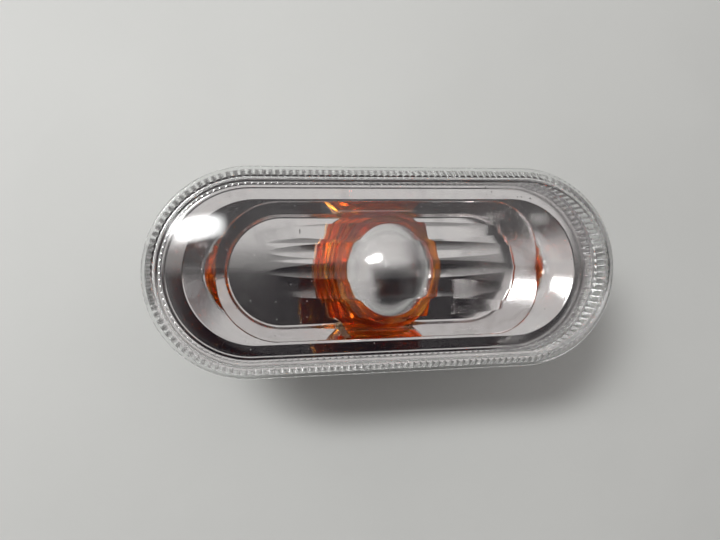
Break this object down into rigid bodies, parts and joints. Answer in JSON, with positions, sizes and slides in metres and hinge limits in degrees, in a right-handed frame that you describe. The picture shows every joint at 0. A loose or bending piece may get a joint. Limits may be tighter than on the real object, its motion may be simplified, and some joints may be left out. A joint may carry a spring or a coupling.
{
  "type": "side repeater lamp",
  "caption": "Oblong side indicator lamp: clear crowned lens on a mirror reflector trough, stepped amber cover with a mirror dome, wedge-base bulb in a push-in holder.",
  "frame": {"origin": "centre of the lens lip's rear face, the plane that lies on the car's wing", "axes": "+Z out of the car through the lens, +X along the lamp from the fixed hook to the spring tongue, +Y across it"},
  "size_m": [0.094, 0.04, 0.043],
  "materials": {
    "clear_plastic": "clear",
    "metallised_plastic": "mirror",
    "amber_plastic": "clear amber",
    "bright_chrome": "mirror",
    "bulb_glass": "clear",
    "tungsten": "satin",
    "lead_wire": "satin",
    "black_plastic": "satin",
    "contact_brass": "satin",
    "seal_rubber": "matte"
  },
  "bodies": {
    "root": {"outer_lens": "clear_plastic", "reflector_body": "metallised_plastic", "amber_filter": "amber_plastic", "chrome_cap": "bright_chrome", "bulb_glass": "bulb_glass", "bulb_filament": "tungsten", "lead_wire_a": "lead_wire", "lead_wire_b": "lead_wire", "bulb_holder": "black_plastic", "contact_a": "contact_brass", "contact_b": "contact_brass", "holder_seal": "seal_rubber"}
  },
  "joints": []
}
